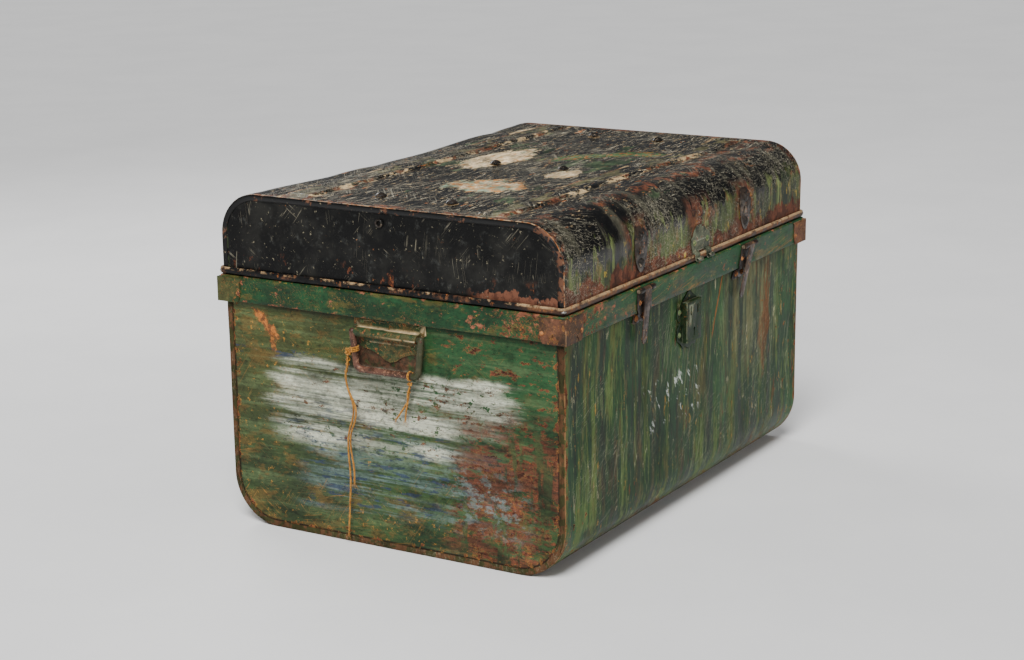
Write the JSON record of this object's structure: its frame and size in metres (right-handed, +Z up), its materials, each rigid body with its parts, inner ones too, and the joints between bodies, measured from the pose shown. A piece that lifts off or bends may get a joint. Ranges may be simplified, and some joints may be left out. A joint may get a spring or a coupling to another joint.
{
  "type": "steamer trunk",
  "caption": "Sheet-metal travelling trunk with a rounded hinged lid, a raised collar, swinging hasps, a box lock, end bail handles and twine tails.",
  "frame": {"origin": "on the floor, under the middle of the trunk's body", "axes": "+X along the front towards the right-hand end, -Y out of the front with the lock, +Z up"},
  "size_m": [0.8, 0.591, 0.4966],
  "materials": {
    "body_sheet": "worn dark green paint over tinned sheet, rusted",
    "collar_sheet": "worn green paint",
    "bracket_sheet": "worn green paint, rusted edges",
    "handle_sheet": "worn green paint over rust",
    "handle_bar": "rusted bar with traces of green paint",
    "lid_sheet": "worn black paint, scratched, with rust",
    "steel_wire": "bright wire",
    "dark_studs": "black paint worn to rust",
    "bare_steel": "dull steel",
    "dark_hardware": "dark brown japanned finish, rusted",
    "rusty_rivets": "orange rust",
    "hinge_sheet": "worn dark paint",
    "painted_rivets": "green paint worn at the crown",
    "centre_plate": "pale worn green paint",
    "lock_sheet": "green paint, worn pale at its edges",
    "twine": "yellow-brown jute"
  },
  "bodies": {
    "case": {"body_end_left": "body_sheet", "body_end_right": "body_sheet", "body_wrap": "body_sheet", "bracket_rivets": "painted_rivets", "collar_back": "collar_sheet", "collar_front": "collar_sheet", "collar_left": "collar_sheet", "collar_right": "collar_sheet", "corner_bracket_back_left": "bracket_sheet", "corner_bracket_back_right": "bracket_sheet", "corner_bracket_front_left": "bracket_sheet", "corner_bracket_front_right": "bracket_sheet", "handle_plate_left": "handle_sheet", "handle_plate_right": "handle_sheet", "handle_rivets_left": "painted_rivets", "handle_rivets_right": "painted_rivets", "hasp_base_left": "dark_hardware", "hasp_base_right": "dark_hardware", "hasp_pin_left": "bare_steel", "hasp_pin_right": "bare_steel", "hasp_rivets_left": "rusty_rivets", "hasp_rivets_right": "rusty_rivets", "hinge_leaf_body_left": "hinge_sheet", "hinge_leaf_body_right": "hinge_sheet", "hinge_pin_left": "bare_steel", "hinge_pin_right": "bare_steel", "hinge_rivets_body": "painted_rivets", "lock_case": "lock_sheet", "lock_plate": "lock_sheet", "lock_rivets": "painted_rivets", "lock_spring": "bare_steel", "lock_studs": "bare_steel"},
    "lid": {"catch_plate_left": "dark_hardware", "catch_plate_right": "dark_hardware", "catch_rivets_left": "rusty_rivets", "catch_rivets_right": "rusty_rivets", "centre_hasp_plate": "centre_plate", "centre_hasp_rivets": "centre_plate", "hinge_leaf_lid_left": "hinge_sheet", "hinge_leaf_lid_right": "hinge_sheet", "hinge_rivets_lid": "painted_rivets", "lid_end_left": "lid_sheet", "lid_end_right": "lid_sheet", "lid_eyelet": "bare_steel", "lid_rim_wire": "steel_wire", "lid_studs": "dark_studs", "lid_wrap": "lid_sheet"},
    "tongue_left": {"tongue_left": "dark_hardware"},
    "tongue_right": {"tongue_right": "dark_hardware"},
    "bail_left": {"bail_left": "handle_bar", "twine_knot_arm": "twine"},
    "bail_right": {"bail_right": "handle_bar"},
    "lock_bolt": {"lock_bolt": "bare_steel"},
    "twine_arm": {"twine_long": "twine", "twine_short": "twine"},
    "twine_bar": {"twine_knot_bar": "twine", "twine_fork_inner": "twine", "twine_fork_outer": "twine"}
  },
  "joints": [
    {"name": "lid_hinge", "type": "hinge", "parent": "case", "child": "lid", "pos_m": [0, 0.2915, 0.374], "axis": [-1, 0, 0], "range_deg": [0, 100]},
    {"name": "tongue_left_swing", "type": "hinge", "parent": "case", "child": "tongue_left", "pos_m": [-0.171, -0.291, 0.367], "axis": [-1, 0, 0], "range_deg": [0, 182]},
    {"name": "tongue_right_swing", "type": "hinge", "parent": "case", "child": "tongue_right", "pos_m": [0.171, -0.291, 0.367], "axis": [-1, 0, 0], "range_deg": [0, 182]},
    {"name": "bail_left_lift", "type": "hinge", "parent": "case", "child": "bail_left", "pos_m": [-0.3925, -0.004, 0.315], "axis": [0, 1, 0], "range_deg": [0, 90]},
    {"name": "bail_right_lift", "type": "hinge", "parent": "case", "child": "bail_right", "pos_m": [0.3925, -0.004, 0.315], "axis": [0, -1, 0], "range_deg": [0, 90]},
    {"name": "bolt_slide", "type": "slide", "parent": "case", "child": "lock_bolt", "axis": [1, 0, 0], "range_m": [0, 0.007]},
    {"name": "twine_arm_hang", "type": "hinge", "parent": "bail_left", "child": "twine_arm", "pos_m": [-0.3965, 0.0581, 0.284], "axis": [0, 1, 0], "range_deg": [-90, 0]},
    {"name": "twine_bar_hang", "type": "hinge", "parent": "bail_left", "child": "twine_bar", "pos_m": [-0.3925, -0.0415, 0.262], "axis": [0, 1, 0], "range_deg": [-90, 0]}
  ],
  "couplings": [
    {"joint": "twine_arm_hang", "follows": "bail_left_lift", "ratio": -1},
    {"joint": "twine_bar_hang", "follows": "bail_left_lift", "ratio": -1}
  ]
}
